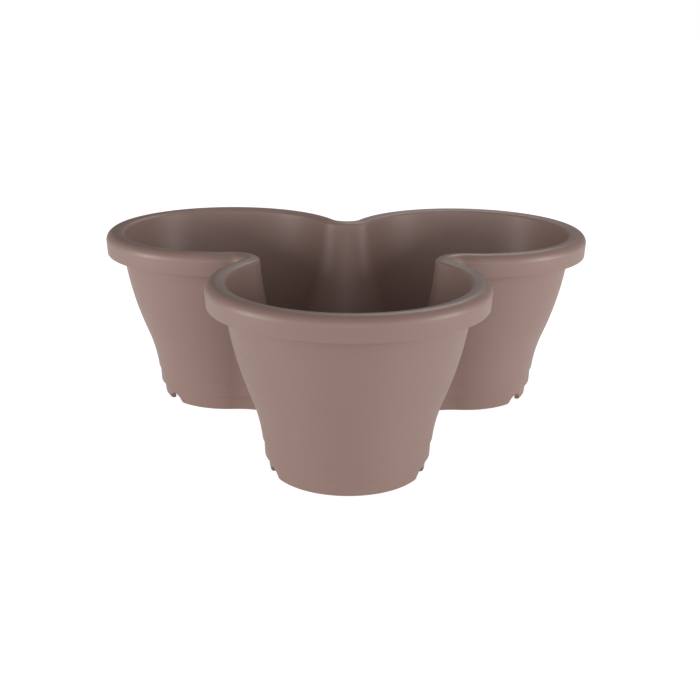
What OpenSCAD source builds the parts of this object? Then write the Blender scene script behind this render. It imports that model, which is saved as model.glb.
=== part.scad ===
// One tier of a stacking planter. A thin moulded tub holds three open bowls round a common
// middle, under a down-turned rim that follows their outline in one line. Each bowl has a
// drain hole in its floor with a plug in it, and a grate on feet that keeps the soil off
// the floor. Sizes are in millimetres and angles in degrees.

/* [Tub] */
// Height of the tub from the ground to the crown of the rim
tub_h = 141; // [125:0.5:170]
// Thickness of the walls
wall = 2.5; // [1.5:0.1:3.5]
// Thickness of the floor
floor_t = 2.5; // [1.5:0.1:4]

/* [Rim] */
// Outer radius of the rim round each bowl
rim_r = 100; // [97:0.5:106]
// Gap between the middle of the tub and the circle of each bowl's rim
middle_gap = 13.7; // [9:0.1:18]
// Radius of the rim's outer face in the fold between two bowls
valley_r = 8.4; // [6:0.1:14]
// Length of the straight strip of the wall between a bowl's arc and a valley's arc
strip_l = 1.8; // [1:0.1:6]
// How far the strip stands proud of the arcs all round, as the line left by a mould's split
strip_proud = 0.04; // [0.02:0.01:0.1]
// Height of the rim's skirt, from its crown to its lower edge
rim_h = 17.7; // [13:0.1:30]
// Thickness of the rim's lip and skirt
rim_t = 2.3; // [1.5:0.1:3.2]
// Rounding of the rim's outer corner
rim_round = 7; // [5:0.1:8]
// Rounding of the edge of the mouth
mouth_round = 3; // [2:0.1:3.5]
// Angle by which the skirt draws in towards its lower edge
skirt_lean = 3.7; // [0:0.1:6]
// Angle by which the rim's top falls towards the mouth
top_lean = 9.5; // [0:0.1:15]

/* [Wall] */
// How far below the crown the curve of the wall ends
neck_drop = 7; // [5:0.1:12]
// How far inside the rim's outer face the curve of the wall ends
neck_inset = 12.4; // [11:0.1:15]
// Height at which the wall turns from flaring out to straightening up
waist_z = 57; // [48:0.5:70]
// How far the wall draws in from the end of its curve down to that height
waist_inset = 18.2; // [15:0.1:21]
// Lean of the wall at that height
waist_lean = 22; // [18:0.1:24]
// How far the wall draws in from there down to its lower end
step_inset = 8.1; // [6:0.1:10]

/* [Foot] */
// Height of the floor's underside above the ground
foot_h = 12.3; // [10:0.1:18]
// Height of the plain band above the floor's underside
band_h = 12.7; // [11:0.1:16]
// How far the band stands back from the lower end of the wall
band_step = 1.1; // [0.8:0.1:2.5]
// Angle by which the band draws in towards its lower edge
band_lean = 2.6; // [0:0.1:5]
// How far the root of the foot ring stands back from the top of the band
foot_step = 2.9; // [2.2:0.1:4.5]
// Angle by which the foot ring draws in towards the ground
foot_lean = 6; // [2:0.1:9]
// Thickness of the foot ring at its root
foot_t = 3.4; // [2.5:0.1:5]
// Rounding of the foot ring's lower outer edge
foot_round = 3.2; // [1.5:0.1:3.5]
// Width of the flat land that the foot ring stands on
foot_land = 2; // [1:0.1:3]
// Chamfer in the corner between the floor and the wall
corner = 1.5; // [0.8:0.1:2.5]

/* [Notches] */
// Width of each arched notch in the foot ring, at the ground
notch_w = 18.4; // [12:0.1:26]
// Height of each notch
notch_h = 7.4; // [4:0.1:9]
// Angle of each notch round its bowl, from the side that points away from the middle
notch_angle = 68.5; // [40:0.5:90]

/* [Grate] */
// Gap between the grate and the band round it
grate_gap = 0.5; // [0.3:0.1:1.5]
// Thickness of the grate's deck
deck_t = 2.4; // [1.5:0.1:4]
// Height of the feet that carry the deck
feet_h = 9; // [7:0.1:14]
// Radius of each foot
feet_r = 2.5; // [1.5:0.1:3.5]
// Number of feet
feet_n = 6; // [3:1:8]
// Width of the slots
slot_w = 3.2; // [2:0.1:4]
// Number of slots in the inner ring, with twice as many in the outer ring
slot_n = 10; // [6:1:12]
// Radius of the finger hole in the middle
finger_r = 14; // [12:0.1:16]
// Width of the plain ring of deck beside each ring of slots
web = 4.5; // [3:0.1:6]

/* [Plug] */
// Radius of the drain hole
drain_r = 5; // [3:0.1:6]
// Gap round the plug's shank in the drain hole
plug_gap = 0.05; // [0.02:0.01:0.1]
// Radius of the plug's flange
flange_r = 9; // [7.5:0.1:10]
// Thickness of the plug's flange
flange_t = 1.6; // [1:0.1:2.5]
// Radius of the plug's stem
stem_r = 2.6; // [1.5:0.1:3.5]
// Radius of the plug's pull knob
knob_r = 5.2; // [4:0.1:7]
// Thickness of the plug's pull knob
knob_t = 2.6; // [1.5:0.1:4]
// Depth of the knob's top below the top of the grate's deck
knob_drop = 1.2; // [0.5:0.1:3]

/* [Hidden] */
$fn = 144;
// Largest turn from one point to the next of a rounding in view, of one that is hidden, and
// of the wall's long curves
round_turn = 6;
hidden_turn = 15;
wall_turn = 1.8;
// Overrun of every cut past the face it goes through
over = 1;

front_angle = -90;
right_angle = 30;
left_angle = 150;
bowl_angles = [front_angle, right_angle, left_angle];
// A valley lies between each bowl and the next
turn_to_valley = 60;

// Distance from the middle of the tub to the middle of each bowl, and the outer radii of a bowl
// from its neck down to its foot
bowl_offset = rim_r + middle_gap;
neck_r = rim_r - neck_inset;
waist_r = neck_r - waist_inset;
step_r = waist_r - step_inset;
band_r = step_r - band_step;
foot_r = band_r - foot_step;

// The front bowl reaches further forward than the other two reach back, so the middle of the
// tub lies this far behind the middle of its outline
middle_y = bowl_offset * (1 - sin(right_angle)) / 2;
floor_top = foot_h + floor_t;
step_z = foot_h + band_h;
neck_z = tub_h - neck_drop;
rim_z = tub_h - rim_h;

// Plan of the valleys: each is an arc about an axis that lies outside the tub, joined to the
// arcs of the two bowls beside it by a straight strip that is tangent to both
reach = rim_r + valley_r;
half_gap = bowl_offset * sin(turn_to_valley);
valley_offset = bowl_offset * cos(turn_to_valley)
    + sqrt(reach * reach + strip_l * strip_l - half_gap * half_gap);
bowl_half = atan2(valley_offset * sin(turn_to_valley), valley_offset * cos(turn_to_valley) - bowl_offset)
    - atan(strip_l / reach);
valley_half = bowl_half - turn_to_valley;

// Radius of an arc from one point to another that leans by a given angle at one end
function arc_r(a, b, lean) =
    norm(b - a) / (2 * sin(abs(lean - atan((b.x - a.x) / (b.y - a.y)))));

// Points along an arc from one angle to another, no further apart than a given turn
function arc_pts(centre, r, from, to, turn) =
    let (steps = ceil(abs(to - from) / turn))
    [for (i = [0 : steps]) let (a = from + (to - from) * i / steps) centre + r * [cos(a), sin(a)]];
function all_but_first(list) = [for (i = [1 : len(list) - 1]) list[i]];

step_pt = [step_r, step_z];
waist_pt = [waist_r, waist_z];
neck_pt = [neck_r, neck_z];
low_arc_r = arc_r(step_pt, waist_pt, waist_lean);
high_arc_r = arc_r(waist_pt, neck_pt, waist_lean);
across_waist = [cos(waist_lean), -sin(waist_lean)];
low_centre = waist_pt + low_arc_r * across_waist;
high_centre = waist_pt - high_arc_r * across_waist;

// Above the neck the wall runs straight on, at the lean that its curve ends with
step_lean = 2 * atan((waist_r - step_r) / (waist_z - step_z)) - waist_lean;
neck_lean = 2 * atan((neck_r - waist_r) / (neck_z - waist_z)) - waist_lean;
along_neck = [sin(neck_lean), cos(neck_lean)];
across_neck = [cos(neck_lean), -sin(neck_lean)];

// Rim section: the top is a straight line that touches the crown's arc and the mouth's arc
rim_centre = [rim_r - rim_round, tub_h - rim_round];
top_normal = [-sin(top_lean), cos(top_lean)];
along_top = [-cos(top_lean), -sin(top_lean)];
skirt_normal = [cos(skirt_lean), -sin(skirt_lean)];
neck_in_pt = neck_pt - [wall, 0];
crown_pt = rim_centre + rim_round * top_normal;
mouth_start = neck_in_pt + mouth_round * across_neck;
mouth_run = (-mouth_round - (mouth_start - crown_pt) * top_normal) / (along_neck * top_normal);
mouth_centre = mouth_start + mouth_run * along_neck;

// Point of the skirt's face, or of its back, at a height, for an arc of radius r at its top
function skirt_pt(r, z) = [
    rim_centre.x + r * skirt_normal.x - (rim_centre.y + r * skirt_normal.y - z) * tan(skirt_lean), z
];

// Foot section
foot_in = foot_r - foot_t;
foot_centre = [
    foot_r - (foot_h - foot_round) * tan(foot_lean) - foot_round / cos(foot_lean), foot_round
];
foot_land_in = foot_centre.x - foot_land;
// How far each arc of the wall runs on inside the strips at its ends
strip_lap = strip_l / 3;

// Clear inside of the band at the floor, which the grate fits
band_low_r = band_r - band_h * tan(band_lean);
bay_r = band_low_r - wall;
grate_r = bay_r - grate_gap;
// Radius of the floor's edge, which lies inside the root of the foot ring
floor_r = (foot_r + bay_r - corner) / 2;
deck_z = floor_top + feet_h;
deck_top = deck_z + deck_t;
ring_gap = (grate_r - finger_r - 3 * web) / 2;
plug_top = deck_top - knob_drop;

tub_colour = [0.57, 0.48, 0.44];
grate_colour = [0.20, 0.19, 0.18];
plug_colour = [0.10, 0.10, 0.10];

// Section of the bowl filled in, from the underside of the floor to the neck. Here and below,
// grow is how far every face stands out from its normal place.
module filled_section(grow = 0) {
    low_curve = arc_pts(low_centre, low_arc_r, 180 - step_lean, 180 - waist_lean, wall_turn);
    high_curve = arc_pts(high_centre, high_arc_r, -waist_lean, -neck_lean, wall_turn);
    translate([grow, -grow]) polygon(concat(
        [[0, foot_h], [band_low_r, foot_h], [band_r, step_z]],
        low_curve, all_but_first(high_curve), [[0, neck_z]]
    ));
}

// Section of the hollow of the bowl, which runs down past the floor
module hollow_section(grow) {
    translate([-wall - grow, grow]) filled_section();
    translate([-over, foot_h - over]) square([bay_r + over - grow, floor_t + over]);
    neck_in = neck_in_pt - grow * across_neck;
    polygon([[-wall, neck_z - over], neck_in - [over, over], neck_in, [-wall, tub_h]]);
}

// Section of the rim as a solid block down to the skirt's lower edge
module rim_block_section(grow) {
    polygon(concat(
        [[neck_in_pt.x, rim_z - grow], skirt_pt(rim_round + grow, rim_z - grow)],
        arc_pts(rim_centre, rim_round + grow, -skirt_lean, 90 + top_lean, round_turn),
        arc_pts(mouth_centre, mouth_round + grow, 90 + top_lean, 180 - neck_lean, round_turn),
        [neck_in_pt - grow * across_neck]
    ));
}

// Section of the open channel under the rim, between the skirt and the wall
module rim_channel_section(grow) {
    back_r = rim_round - rim_t - grow;
    roof_end = rim_centre + back_r * top_normal + along_top * (rim_r - waist_r);
    neck_out = neck_pt + grow * across_neck;
    difference() {
        polygon(concat(
            [[waist_r, rim_z - over], skirt_pt(back_r, rim_z - over)],
            arc_pts(rim_centre, back_r, -skirt_lean, 90 + top_lean, hidden_turn),
            [roof_end, [waist_r, neck_z]]
        ));
        filled_section(grow);
        polygon([
            [0, neck_z - over], neck_out - [over, over], neck_out,
            neck_out + rim_h * along_neck, [0, neck_z + rim_h]
        ]);
    }
}

// Section of the foot ring, whose root takes the edge of the floor and fills the corner
// between the floor and the wall with a chamfer
module foot_section(grow) {
    root_z = foot_h + floor_t / 2;
    mid_wall = bay_r + wall / 2;
    polygon(concat(
        [[foot_land_in - grow, -grow]],
        arc_pts(foot_centre, foot_round + grow, -90, -foot_lean, hidden_turn),
        [
            [foot_r + grow, foot_h], [mid_wall, root_z],
            [mid_wall, floor_top + corner + wall / 2 + grow],
            [bay_r - corner - floor_t / 2, root_z + grow], [foot_in - grow, root_z + grow]
        ]
    ));
}

// Section of the wall, rim and foot. The bowl's axis is at zero.
module ring_section(grow = 0) {
    intersection() {
        union() {
            difference() {
                union() {
                    filled_section(grow);
                    rim_block_section(grow);
                }
                hollow_section(grow);
                rim_channel_section(grow);
            }
            foot_section(grow);
        }
        square([rim_r + over, tub_h + over]);
    }
}

// The straight strip of the wall at one end of a bowl's arc, with side 1 or -1
module strip(side) {
    rotate([0, 0, side * bowl_half]) translate([0, (side + 1) / 2 * strip_l, 0])
        rotate([90, 0, 0]) linear_extrude(strip_l) ring_section(strip_proud);
}

// The arc of the wall round one bowl
module bowl_arc() {
    half = bowl_half + atan(strip_lap / rim_r);
    rotate([0, 0, -half]) rotate_extrude(angle = 2 * half) ring_section();
}

// One bowl, joined a piece at a time
module bowl_part() {
    union() {
        union() {
            bowl_arc();
            strip(1);
        }
        strip(-1);
    }
}

// The arc of the wall in one valley, where the section turns its back on the axis
module valley_part() {
    half = valley_half + atan(strip_lap / (reach - foot_land_in));
    rotate([0, 0, 180 - half]) rotate_extrude(angle = 2 * half)
        translate([reach, 0]) mirror([1, 0]) ring_section();
}

// Bowls and valleys in turn round the tub, each joined to all that came before it
module ring(count) {
    last = count - 1;
    a = bowl_angles[floor(last / 2)];
    if (count > 1) ring(last);
    if (last % 2 == 0) rotate([0, 0, a]) translate([bowl_offset, 0, 0]) bowl_part();
    else rotate([0, 0, a + turn_to_valley]) translate([valley_offset, 0, 0]) valley_part();
}

// The floor, one plate under all three bowls
module floor_plate() {
    translate([0, 0, foot_h]) linear_extrude(floor_t) {
        for (a = bowl_angles) rotate(a) translate([bowl_offset, 0]) circle(r = floor_r);
        difference() {
            polygon([
                for (a = bowl_angles, s = [0, 1])
                    (s == 0 ? bowl_offset : valley_offset)
                        * [cos(a + s * turn_to_valley), sin(a + s * turn_to_valley)]
            ]);
            for (a = bowl_angles)
                rotate(a + turn_to_valley) translate([valley_offset, 0])
                    circle(r = reach - floor_r);
        }
    }
}

// Two arched notches across the foot ring of one bowl
module notches() {
    arch_r = (notch_w * notch_w / 4 + notch_h * notch_h) / (2 * notch_h);
    cut_from = foot_land_in - over;
    for (side = [-1, 1])
        rotate([0, 0, side * notch_angle]) translate([cut_from, 0, notch_h - arch_r])
            rotate([0, 90, 0]) cylinder(r = arch_r, h = foot_r + over - cut_from);
}

module tub() {
    color(tub_colour) translate([0, middle_y, 0]) difference() {
        union() {
            ring(2 * len(bowl_angles));
            floor_plate();
        }
        for (a = bowl_angles)
            rotate([0, 0, a]) translate([bowl_offset, 0, 0]) {
                notches();
                translate([0, 0, foot_h - over]) cylinder(r = drain_r, h = floor_t + 2 * over);
            }
    }
}

// One slot with round ends, along a radius from r1 to r2
module slot(r1, r2) {
    translate([r1 + slot_w / 2, -slot_w / 2]) square([r2 - r1 - slot_w, slot_w]);
    for (r = [r1 + slot_w / 2, r2 - slot_w / 2]) translate([r, 0]) circle(d = slot_w);
}

module grate() {
    inner_from = finger_r + web;
    outer_from = inner_from + ring_gap + web;
    feet_ring_r = outer_from - web / 2;
    color(grate_colour) {
        translate([0, 0, deck_z]) linear_extrude(deck_t) difference() {
            circle(r = grate_r);
            circle(r = finger_r);
            for (i = [0 : slot_n - 1])
                rotate(i * 360 / slot_n) slot(inner_from, inner_from + ring_gap);
            for (i = [0 : 2 * slot_n - 1])
                rotate((i + 0.5) * 180 / slot_n) slot(outer_from, outer_from + ring_gap);
        }
        for (i = [0 : feet_n - 1])
            rotate([0, 0, i * 360 / feet_n]) translate([feet_ring_r, 0, floor_top])
                cylinder(r = feet_r, h = feet_h + deck_t / 2);
    }
}

module plug() {
    shank_r = drain_r - plug_gap;
    color(plug_colour) rotate_extrude() polygon([
        [0, foot_h], [shank_r, foot_h], [shank_r, floor_top], [flange_r, floor_top],
        [flange_r, floor_top + flange_t], [stem_r, floor_top + flange_t],
        [stem_r, plug_top - knob_t], [knob_r, plug_top - knob_t], [knob_r, plug_top], [0, plug_top]
    ]);
}

// Sets what it holds into the bowl that lies at an angle round the tub
module in_bowl(angle) {
    translate([0, middle_y, 0]) rotate([0, 0, angle]) translate([bowl_offset, 0, 0]) children();
}

tub();
in_bowl(front_angle) grate();  // front_grate
in_bowl(right_angle) grate();  // right_grate
in_bowl(left_angle) grate();  // left_grate
in_bowl(front_angle) plug();  // front_plug
in_bowl(right_angle) plug();  // right_plug
in_bowl(left_angle) plug();  // left_plug
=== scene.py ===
import math

import bmesh
import bpy
from mathutils import Matrix, Vector


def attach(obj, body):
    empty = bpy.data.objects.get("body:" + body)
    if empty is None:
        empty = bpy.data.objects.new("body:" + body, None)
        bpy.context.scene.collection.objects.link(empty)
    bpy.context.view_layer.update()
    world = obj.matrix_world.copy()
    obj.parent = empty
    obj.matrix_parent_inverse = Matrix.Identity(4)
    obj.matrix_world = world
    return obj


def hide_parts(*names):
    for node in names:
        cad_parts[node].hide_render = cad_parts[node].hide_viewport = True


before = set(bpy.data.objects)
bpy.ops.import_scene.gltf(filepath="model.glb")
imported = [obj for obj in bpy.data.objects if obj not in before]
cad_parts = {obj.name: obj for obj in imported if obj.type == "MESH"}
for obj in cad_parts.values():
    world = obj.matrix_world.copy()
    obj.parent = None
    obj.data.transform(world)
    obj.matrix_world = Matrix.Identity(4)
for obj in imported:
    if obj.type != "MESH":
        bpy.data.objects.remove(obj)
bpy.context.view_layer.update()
MM = 0.001
WHITE = (1, 1, 1, 1)


def linked(obj):
    """The object, once it is in the scene."""
    bpy.context.scene.collection.objects.link(obj)
    return obj


# Materials

def new_material(name):
    material = bpy.data.materials.new(name)
    material.use_nodes = True
    nodes = material.node_tree.nodes
    nodes.clear()
    output = nodes.new("ShaderNodeOutputMaterial")
    shader = nodes.new("ShaderNodeBsdfPrincipled")
    material.node_tree.links.new(shader.outputs["BSDF"], output.inputs["Surface"])
    return material, nodes, material.node_tree.links, shader


def linear(colour):
    """sRGB values from 0 to 255, as linear light."""
    out = []
    for c in colour:
        c = c / 255
        out.append(c / 12.92 if c <= 0.04045 else ((c + 0.055) / 1.055) ** 2.4)
    return (*out, 1.0)


def noise(nodes, links, place, scale, detail=2.0, rough=0.55):
    tex = nodes.new("ShaderNodeTexNoise")
    tex.inputs["Scale"].default_value = scale
    tex.inputs["Detail"].default_value = detail
    tex.inputs["Roughness"].default_value = rough
    links.new(place, tex.inputs["Vector"])
    return tex.outputs["Fac"]


def spread(nodes, links, value, low, high, from_low=0.3, from_high=0.7):
    """The value, taken from its own range to the one from low to high."""
    node = nodes.new("ShaderNodeMapRange")
    node.inputs["From Min"].default_value = from_low
    node.inputs["From Max"].default_value = from_high
    node.inputs["To Min"].default_value = low
    node.inputs["To Max"].default_value = high
    links.new(value, node.inputs["Value"])
    return node.outputs["Result"]


def mixed(nodes, links, factor, first, second):
    """A shader that is the first where the factor is 0 and the second where it is 1."""
    node = nodes.new("ShaderNodeMixShader")
    for value, socket in zip((factor, first, second), node.inputs):
        links.new(value, socket)
    return node.outputs["Shader"]


CLOUD_SCALE, GLOSS_SCALE = 9.0, 240.0
LEAST_CLOUD = 0.25
SMOOTHER, ROUGHER = 0.03, 0.04
BUMP_STRENGTH = 0.35


def moulded(name, colour, darker, rough, grain, bump, specular=0.5):
    """Moulded plastic: a fine spark-eroded grain, faint flow clouds in the colour, and a
    gloss that wanders a little."""
    material, nodes, links, shader = new_material(name)
    place = nodes.new("ShaderNodeTexCoord").outputs["Object"]
    clouds = noise(nodes, links, place, CLOUD_SCALE)
    gloss = noise(nodes, links, place, GLOSS_SCALE)
    mix = nodes.new("ShaderNodeMix")
    mix.data_type = "RGBA"
    mix.inputs["A"].default_value = linear(darker)
    mix.inputs["B"].default_value = linear(colour)
    links.new(spread(nodes, links, clouds, LEAST_CLOUD, 1.0), mix.inputs["Factor"])
    links.new(mix.outputs["Result"], shader.inputs["Base Color"])
    roughness = spread(nodes, links, gloss, rough - SMOOTHER, rough + ROUGHER)
    links.new(roughness, shader.inputs["Roughness"])
    shader.inputs["Specular IOR Level"].default_value = specular
    bump_node = nodes.new("ShaderNodeBump")
    bump_node.inputs["Strength"].default_value = BUMP_STRENGTH
    bump_node.inputs["Distance"].default_value = bump
    links.new(noise(nodes, links, place, grain, detail=3.0, rough=0.6), bump_node.inputs["Height"])
    links.new(bump_node.outputs["Normal"], shader.inputs["Normal"])
    return material


def paint(obj, material):
    obj.data.materials.clear()
    obj.data.materials.append(material)


tub_plastic = moulded(
    "tub_plastic", (148, 122, 113), (145, 119, 110),
    rough=0.42, grain=1500.0, bump=0.00006, specular=0.48,
)
grate_plastic = moulded(
    "grate_plastic", (52, 49, 47), (46, 43, 42), rough=0.5, grain=1300.0, bump=0.00007,
)
plug_rubber = moulded(
    "plug_rubber", (33, 32, 32), (28, 27, 27),
    rough=0.62, grain=1600.0, bump=0.00005, specular=0.35,
)

for name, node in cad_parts.items():
    if "grate" in name:
        paint(node, grate_plastic)
    elif "plug" in name:
        paint(node, plug_rubber)
    else:
        paint(node, tub_plastic)


# The tub, swept in one smooth skin. Its sizes are in millimetres and its angles in degrees,
# as the CAD tub has them.

TUB_H, BOWL_OFFSET, WALL, FLOOR_T = 141, 113.7, 2.5, 2.5
RIM_R, VALLEY_R, STRIP_L, RIM_H, RIM_T = 100, 8.4, 1.8, 17.7, 2.3
RIM_ROUND, MOUTH_ROUND, SKIRT_LEAN, TOP_LEAN = 7, 3, 3.7, 9.5
NECK_DROP, NECK_R, WAIST_Z, WAIST_R, WAIST_LEAN, STEP_R = 7, 87.6, 57, 69.4, 22, 61.3
FOOT_H, BAND_H, BAND_R, BAND_LEAN, FOOT_R, FOOT_LEAN = 12.3, 12.7, 60.2, 2.6, 57.3, 6
FOOT_T, FOOT_ROUND, FOOT_LAND, CORNER = 3.4, 3.2, 2, 1.5
NOTCH_W, NOTCH_H, NOTCH_ANGLE, DRAIN_R = 18.4, 7.4, 68.5, 5
BOWL_ANGLES = (-90, 30, 150)
TO_VALLEY = 60
MIDDLE_Y = BOWL_OFFSET * (1 - math.sin(math.radians(30))) / 2

# how much each edge of the section is softened
FLOOR_EDGE, BAND_INSIDE, SKIRT_OUTSIDE, SKIRT_INSIDE, CHANNEL_END = 0.8, 0.3, 0.5, 0.4, 0.8
STEP_EDGE, BAND_TOP, BAND_FOOT, FOOT_TOP, LAND_EDGE = 0.35, 0.3, 0.5, 0.4, 0.4
EDGE_STEPS, EDGE_SHARE = 4, 0.45

# how finely the outline, the drain holes and the arches are cut up, and where an arch starts
# and ends, as distances from the bowl's axis
BOWL_STEPS, VALLEY_STEPS, DRAIN_STEPS, ARCH_STEPS = 124, 36, 48, 72
NOTCH_REACH = (48, 60)
SMOOTH_UP_TO = 40


def polar(angle, r=1.0):
    return Vector((math.cos(math.radians(angle)), math.sin(math.radians(angle)))) * r


def tan(angle):
    return math.tan(math.radians(angle))


def arc(centre, r, start, end, turn):
    """Points on an arc, one for every turn degrees or fewer."""
    steps = max(1, math.ceil(abs(end - start) / turn))
    return [centre + polar(start + (end - start) * i / steps, r) for i in range(steps + 1)]


def circle(steps, r):
    return [polar(t * 360 / steps, r) for t in range(steps)]


def plain(points):
    """The points, none of them with a corner to soften."""
    return [(p, 0) for p in points]


def softened(points):
    """A line of (point, radius) pairs, with each corner that has a radius rounded to it."""
    out = []
    for i, (p, r) in enumerate(points):
        if not r or i in (0, len(points) - 1):
            out.append(p)
            continue
        to_last, to_next = points[i - 1][0] - p, points[i + 1][0] - p
        before, after = to_last.normalized(), to_next.normalized()
        half = before.angle(after) / 2
        run = min(r / math.tan(half), to_last.length * EDGE_SHARE, to_next.length * EDGE_SHARE)
        a, c = p + before * run, p + after * run
        for k in range(EDGE_STEPS + 1):
            t = k / EDGE_STEPS
            out.append(a * (1 - t) ** 2 + p * 2 * t * (1 - t) + c * t ** 2)
    return out


def lean_arc(a, b, lean):
    """Radius of the arc from a to b that leans by lean at one end."""
    chord_lean = math.degrees(math.atan((b.x - a.x) / (b.y - a.y)))
    return (b - a).length / (2 * math.sin(math.radians(abs(lean - chord_lean))))


def far_lean(r_low, r_high, z_low, z_high):
    """Lean at the far end of an arc that leans by WAIST_LEAN at its near end."""
    return 2 * math.degrees(math.atan((r_high - r_low) / (z_high - z_low))) - WAIST_LEAN


def tub_profile():
    """The tub's section, from the edge of the floor's top round to the edge of its underside."""
    floor_top, step_z = FOOT_H + FLOOR_T, FOOT_H + BAND_H
    neck_z, rim_z = TUB_H - NECK_DROP, TUB_H - RIM_H
    step, waist = Vector((STEP_R, step_z)), Vector((WAIST_R, WAIST_Z))
    neck = Vector((NECK_R, neck_z))
    inward = Vector((-WALL, 0))

    # the wall's outer face: two arcs that share their lean at the waist
    across = Vector((math.cos(math.radians(WAIST_LEAN)), -math.sin(math.radians(WAIST_LEAN))))
    low_r, high_r = lean_arc(step, waist, WAIST_LEAN), lean_arc(waist, neck, WAIST_LEAN)
    step_lean = far_lean(STEP_R, WAIST_R, step_z, WAIST_Z)
    neck_lean = far_lean(WAIST_R, NECK_R, WAIST_Z, neck_z)
    wall = arc(waist + across * low_r, low_r, 180 - step_lean, 180 - WAIST_LEAN, turn=1)
    wall += arc(waist - across * high_r, high_r, -WAIST_LEAN, -neck_lean, turn=1)[1:]

    # the mouth's rounding, between the wall's inner face and the sloping top of the rim
    rim_centre = Vector((RIM_R - RIM_ROUND, TUB_H - RIM_ROUND))
    top_normal, along_top = polar(90 + TOP_LEAN), polar(180 + TOP_LEAN)
    along_neck, across_neck = polar(90 - neck_lean), polar(-neck_lean)
    start = neck + inward + across_neck * MOUTH_ROUND
    crown = rim_centre + top_normal * RIM_ROUND
    run = (-MOUTH_ROUND - (start - crown).dot(top_normal)) / along_neck.dot(top_normal)
    mouth_centre = start + along_neck * run

    # the channel under the rim, whose roof runs in to the outer face of the wall
    back_r = RIM_ROUND - RIM_T
    roof = rim_centre + top_normal * back_r
    roof_run = (neck - roof).cross(along_neck) / along_top.cross(along_neck)

    def skirt(r):
        """Lower end of the skirt's face that leaves the rim's rounding at radius r."""
        n = polar(-SKIRT_LEAN)
        drop = rim_centre.y + r * n.y - rim_z
        return Vector((rim_centre.x + r * n.x - drop * tan(SKIRT_LEAN), rim_z))

    # the band, and the foot ring below it
    band_low_r = BAND_R - BAND_H * tan(BAND_LEAN)
    bay_r = band_low_r - WALL
    foot_round_in = FOOT_ROUND / math.cos(math.radians(FOOT_LEAN))
    foot_x = FOOT_R - (FOOT_H - FOOT_ROUND) * tan(FOOT_LEAN) - foot_round_in
    land_in = foot_x - FOOT_LAND
    root_z = FOOT_H + FLOOR_T / 2
    under_x = land_in + (FOOT_R - FOOT_T - land_in) * FOOT_H / root_z

    line = [
        (Vector((bay_r - CORNER, floor_top)), 0),
        (Vector((bay_r + CORNER * tan(BAND_LEAN), floor_top + CORNER)), FLOOR_EDGE),
        (Vector((BAND_R - WALL, step_z)), BAND_INSIDE),
        (step + inward, BAND_INSIDE),
    ]
    line += plain(p + inward for p in wall[1:])
    line += plain(arc(mouth_centre, MOUTH_ROUND, 180 - neck_lean, 90 + TOP_LEAN, turn=6))
    line += plain(arc(rim_centre, RIM_ROUND, 90 + TOP_LEAN, -SKIRT_LEAN, turn=4))
    line += [(skirt(RIM_ROUND), SKIRT_OUTSIDE), (skirt(back_r), SKIRT_INSIDE)]
    line += plain(arc(rim_centre, back_r, -SKIRT_LEAN, 90 + TOP_LEAN, turn=8))
    line += [(roof + along_top * roof_run, CHANNEL_END)]
    line += plain(reversed(wall[1:]))
    line += [
        (step, STEP_EDGE),
        (Vector((BAND_R, step_z)), BAND_TOP),
        (Vector((band_low_r, FOOT_H)), BAND_FOOT),
        (Vector((FOOT_R, FOOT_H)), FOOT_TOP),
    ]
    line += plain(arc(Vector((foot_x, FOOT_ROUND)), FOOT_ROUND, -FOOT_LEAN, -90, turn=8))
    line += [(Vector((land_in, 0)), LAND_EDGE), (Vector((under_x, FOOT_H)), 0)]
    return softened(line)


def tub_stations():
    """For each station round the outline, a centre, a direction, and whether it is a valley's."""
    reach = RIM_R + VALLEY_R
    half_gap = BOWL_OFFSET * math.sin(math.radians(TO_VALLEY))
    cos_gap = BOWL_OFFSET * math.cos(math.radians(TO_VALLEY))
    valley_offset = cos_gap + math.sqrt(reach ** 2 + STRIP_L ** 2 - half_gap ** 2)
    valley_x = valley_offset * math.cos(math.radians(TO_VALLEY)) - BOWL_OFFSET
    valley_y = valley_offset * math.sin(math.radians(TO_VALLEY))
    strip = math.degrees(math.atan(STRIP_L / reach))
    bowl_half = math.degrees(math.atan2(valley_y, valley_x)) - strip
    valley_half = bowl_half - TO_VALLEY
    middle = Vector((0, MIDDLE_Y))
    out = []
    for a in BOWL_ANGLES:
        centre = middle + polar(a, BOWL_OFFSET)
        for i in range(BOWL_STEPS + 1):
            out.append((centre, polar(a - bowl_half + 2 * bowl_half * i / BOWL_STEPS), False))
        b = a + TO_VALLEY
        centre = middle + polar(b, valley_offset)
        for i in range(VALLEY_STEPS + 1):
            turned = b + 180 + valley_half - 2 * valley_half * i / VALLEY_STEPS
            out.append((centre, polar(turned), True))
    return out, reach


def at(place, z):
    """A point of the plan and a height in millimetres, as a point in metres."""
    return (place * MM).to_3d() + Vector((0, 0, z * MM))


def join_loops(bm, first, second):
    """Faces between two closed loops with as many points each."""
    for t in range(len(first)):
        u = (t + 1) % len(first)
        bm.faces.new((first[t], first[u], second[u], second[t]))


def finished(bm, name):
    """A new object in the scene with the mesh that was made, its faces turned outwards."""
    bmesh.ops.recalc_face_normals(bm, faces=bm.faces)
    mesh = bpy.data.meshes.new(name)
    bm.to_mesh(mesh)
    bm.free()
    return linked(bpy.data.objects.new(name, mesh))


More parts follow.
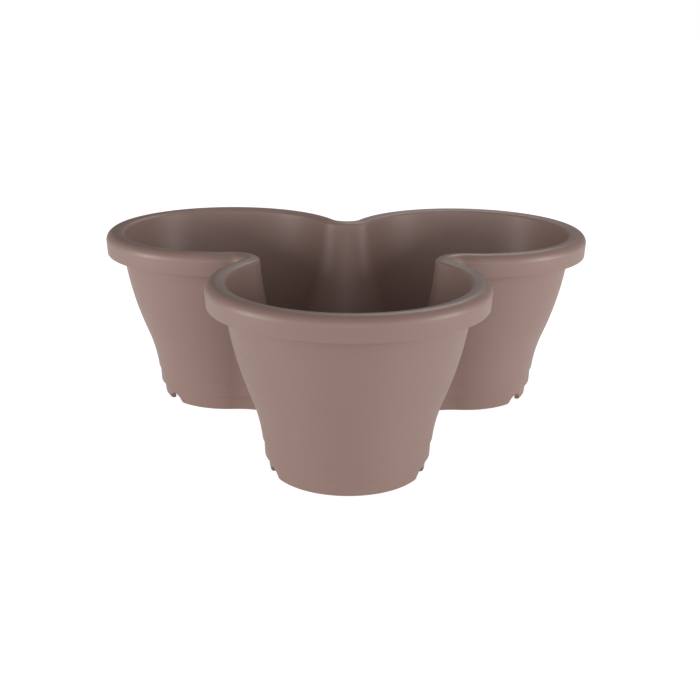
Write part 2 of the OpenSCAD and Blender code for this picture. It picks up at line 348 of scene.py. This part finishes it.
def uncut_tub():
    profile = tub_profile()
    stations, reach = tub_stations()
    bm = bmesh.new()
    rings = []
    for centre, way, in_valley in stations:
        rings.append([
            bm.verts.new(at(centre + way * ((reach - p.x) if in_valley else p.x), p.y))
            for p in profile
        ])
    for i, ring in enumerate(rings):
        after = rings[(i + 1) % len(rings)]
        for k in range(len(profile) - 1):
            bm.faces.new((ring[k], after[k], after[k + 1], ring[k + 1]))

    # the floor: its top and its underside are filled round the drain holes, whose walls join them
    top, under = 0, -1
    drains = {top: [], under: []}
    for a in BOWL_ANGLES:
        centre = Vector((0, MIDDLE_Y)) + polar(a, BOWL_OFFSET)
        loops = {}
        for face, z in ((top, FOOT_H + FLOOR_T), (under, FOOT_H)):
            loop = [bm.verts.new(at(centre + p, z)) for p in circle(DRAIN_STEPS, DRAIN_R)]
            drains[face] += [
                bm.edges.new((p, loop[(t + 1) % len(loop)])) for t, p in enumerate(loop)
            ]
            loops[face] = loop
        join_loops(bm, loops[top], loops[under])
    for face in (top, under):
        edge = [
            bm.edges.get((ring[face], rings[(i + 1) % len(rings)][face]))
            for i, ring in enumerate(rings)
        ]
        bmesh.ops.triangle_fill(
            bm, use_beauty=True, use_dissolve=False, edges=edge + drains[face],
        )
    return finished(bm, "tub_moulding")


def notch_cutter():
    """The six arches that are cut from the foot ring, two under each bowl."""
    arch_r = (NOTCH_W ** 2 / 4 + NOTCH_H ** 2) / (2 * NOTCH_H)
    bm = bmesh.new()
    for a in BOWL_ANGLES:
        centre = Vector((0, MIDDLE_Y)) + polar(a, BOWL_OFFSET)
        for side in (-1, 1):
            way = polar(a + side * NOTCH_ANGLE)
            across = Vector((-way.y, way.x))
            loops = []
            for r in NOTCH_REACH:
                mid = (centre + way * r).to_3d() + Vector((0, 0, NOTCH_H - arch_r))
                loops.append([
                    bm.verts.new((mid + across.to_3d() * p.x + Vector((0, 0, p.y))) * MM)
                    for p in circle(ARCH_STEPS, arch_r)
                ])
            join_loops(bm, *loops)
            for loop in loops:
                bm.faces.new(loop)
    return finished(bm, "notch_cutter")


def made_tub():
    tub, cutter = uncut_tub(), notch_cutter()
    cut = tub.modifiers.new("notches", "BOOLEAN")
    cut.operation, cut.solver, cut.object = "DIFFERENCE", "EXACT", cutter
    graph = bpy.context.evaluated_depsgraph_get()
    mesh = bpy.data.meshes.new_from_object(tub.evaluated_get(graph))
    tub.modifiers.clear()
    tub.data = mesh
    bpy.data.objects.remove(cutter)
    mesh.shade_smooth()
    mesh.set_sharp_from_angle(angle=math.radians(SMOOTH_UP_TO))
    return tub


tub = made_tub()
paint(tub, tub_plastic)
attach(tub, "tub")
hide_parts("tub")


# The camera, as fitted to the outlines in the photograph

YAW, PITCH, ROLL = (math.radians(a) for a in (0.804, 17.492, 0.516))
FOCAL_PX, PHOTO_PX, SENSOR = 1172.39, 700, 36
CAMERA_AT = (-9.424, -877.48, 337.7)

forward = Vector((
    math.sin(YAW) * math.cos(PITCH), math.cos(YAW) * math.cos(PITCH), -math.sin(PITCH),
))
right = Vector((math.cos(YAW), -math.sin(YAW), 0))
up = right.cross(forward)
right_rolled = right * math.cos(ROLL) + up * math.sin(ROLL)
up_rolled = up * math.cos(ROLL) - right * math.sin(ROLL)
turn = Matrix((right_rolled, up_rolled, -forward)).transposed().to_4x4()
camera_data = bpy.data.cameras.new("camera")
camera_data.sensor_width = SENSOR
camera_data.lens = FOCAL_PX * SENSOR / PHOTO_PX
# half a pixel, since the outlines were measured from the middle of the first pixel
camera_data.shift_x, camera_data.shift_y = -0.5 / PHOTO_PX, 0.5 / PHOTO_PX
camera = linked(bpy.data.objects.new("camera", camera_data))
camera.matrix_world = Matrix.Translation(Vector(CAMERA_AT) * MM) @ turn
bpy.context.scene.camera = camera


# The light: a softbox at each side and one behind, in bright surroundings

SIDE_POWER, BACK_POWER = 8, 6
SIDE_SIZE, BACK_SIZE = (0.3, 0.5), (0.9, 0.5)
SIDE_X, SIDE_Y, SIDE_Z = 1.5, -0.4, 0.28
BACK_AT = (0.35, 1.1, 1.2)
SIDE_AIM, BACK_AIM = (0, -0.05, 0.08), (0, -0.05, 0.14)
HORIZON, ZENITH, ZENITH_FROM = 2.6, 0.34, 0.5
AHEAD, BEHIND, AHEAD_UP_TO, BEHIND_FROM = 1.0, 0.1, -0.9, 0.3


def softbox(name, place, look_at, size, power):
    data = bpy.data.lights.new(name, "AREA")
    data.shape = "RECTANGLE"
    data.size, data.size_y = size
    data.energy = power
    place, look_at = Vector(place), Vector(look_at)
    turned = (look_at - place).to_track_quat("-Z", "Y").to_matrix().to_4x4()
    linked(bpy.data.objects.new(name, data)).matrix_world = Matrix.Translation(place) @ turned


softbox("left_softbox", (-SIDE_X, SIDE_Y, SIDE_Z), SIDE_AIM, SIDE_SIZE, SIDE_POWER)
softbox("right_softbox", (SIDE_X, SIDE_Y, SIDE_Z), SIDE_AIM, SIDE_SIZE, SIDE_POWER)
softbox("back_softbox", BACK_AT, BACK_AIM, BACK_SIZE, BACK_POWER)

world = bpy.data.worlds.new("studio")
bpy.context.scene.world = world
world.use_nodes = True
nodes, links = world.node_tree.nodes, world.node_tree.links
nodes.clear()
seen, lighting = (nodes.new("ShaderNodeBackground") for _ in range(2))
seen.inputs["Color"].default_value = lighting.inputs["Color"].default_value = WHITE
seen.inputs["Strength"].default_value = 1.0
# the surroundings are brightest low down in front, and dimmer overhead and behind, so the
# inside of the tub stays dark and its edges don't glow
direction = nodes.new("ShaderNodeSeparateXYZ")
links.new(nodes.new("ShaderNodeTexCoord").outputs["Generated"], direction.inputs["Vector"])
height, depth = direction.outputs["Z"], direction.outputs["Y"]
fall = nodes.new("ShaderNodeMath")
fall.operation = "MULTIPLY"
links.new(spread(nodes, links, height, HORIZON, ZENITH, 0.0, ZENITH_FROM), fall.inputs[0])
links.new(spread(nodes, links, depth, AHEAD, BEHIND, AHEAD_UP_TO, BEHIND_FROM), fall.inputs[1])
links.new(fall.outputs["Value"], lighting.inputs["Strength"])
is_camera = nodes.new("ShaderNodeLightPath").outputs["Is Camera Ray"]
sky = mixed(nodes, links, is_camera, lighting.outputs["Background"], seen.outputs["Background"])
links.new(sky, nodes.new("ShaderNodeOutputWorld").inputs["Surface"])


# The floor

FLOOR_HALF, FLOOR_DROP = 6.0, 0.0002
FLOOR_GREY, FLOOR_ROUGH, FLOOR_GLOW = 0.92, 0.9, 0.31
SEEN_GLOW, SEEN_GREY = 0.95, 0.3

floor_mesh = bpy.data.meshes.new("floor")
floor_mesh.from_pydata(
    [(x * FLOOR_HALF, y * FLOOR_HALF, 0) for x, y in ((-1, -1), (1, -1), (1, 1), (-1, 1))],
    [], [(0, 1, 2, 3)],
)
floor = linked(bpy.data.objects.new("floor", floor_mesh))
floor.location.z = -FLOOR_DROP
floor_paint, nodes, links, shader = new_material("floor_paint")
shader.inputs["Base Color"].default_value = (FLOOR_GREY, FLOOR_GREY, FLOOR_GREY, 1)
shader.inputs["Roughness"].default_value = FLOOR_ROUGH
shader.inputs["Specular IOR Level"].default_value = 0.0
shader.inputs["Emission Color"].default_value = WHITE
shader.inputs["Emission Strength"].default_value = FLOOR_GLOW
# the camera sees the floor as white, with the shadow on it faint
glow = nodes.new("ShaderNodeEmission")
glow.inputs["Strength"].default_value = SEEN_GLOW
veil = nodes.new("ShaderNodeBsdfDiffuse")
veil.inputs["Color"].default_value = (SEEN_GREY, SEEN_GREY, SEEN_GREY, 1)
added = nodes.new("ShaderNodeAddShader")
links.new(glow.outputs["Emission"], added.inputs[0])
links.new(veil.outputs["BSDF"], added.inputs[1])
is_camera = nodes.new("ShaderNodeLightPath").outputs["Is Camera Ray"]
from_above = mixed(nodes, links, is_camera, shader.outputs["BSDF"], added.outputs["Shader"])
# it is clear from below, so the underside of the tub can be looked at
clear = nodes.new("ShaderNodeBsdfTransparent")
is_below = nodes.new("ShaderNodeNewGeometry").outputs["Backfacing"]
two_sided = mixed(nodes, links, is_below, from_above, clear.outputs["BSDF"])
links.new(two_sided, nodes["Material Output"].inputs["Surface"])
floor_mesh.materials.append(floor_paint)

bpy.context.scene.view_settings.view_transform = "Standard"
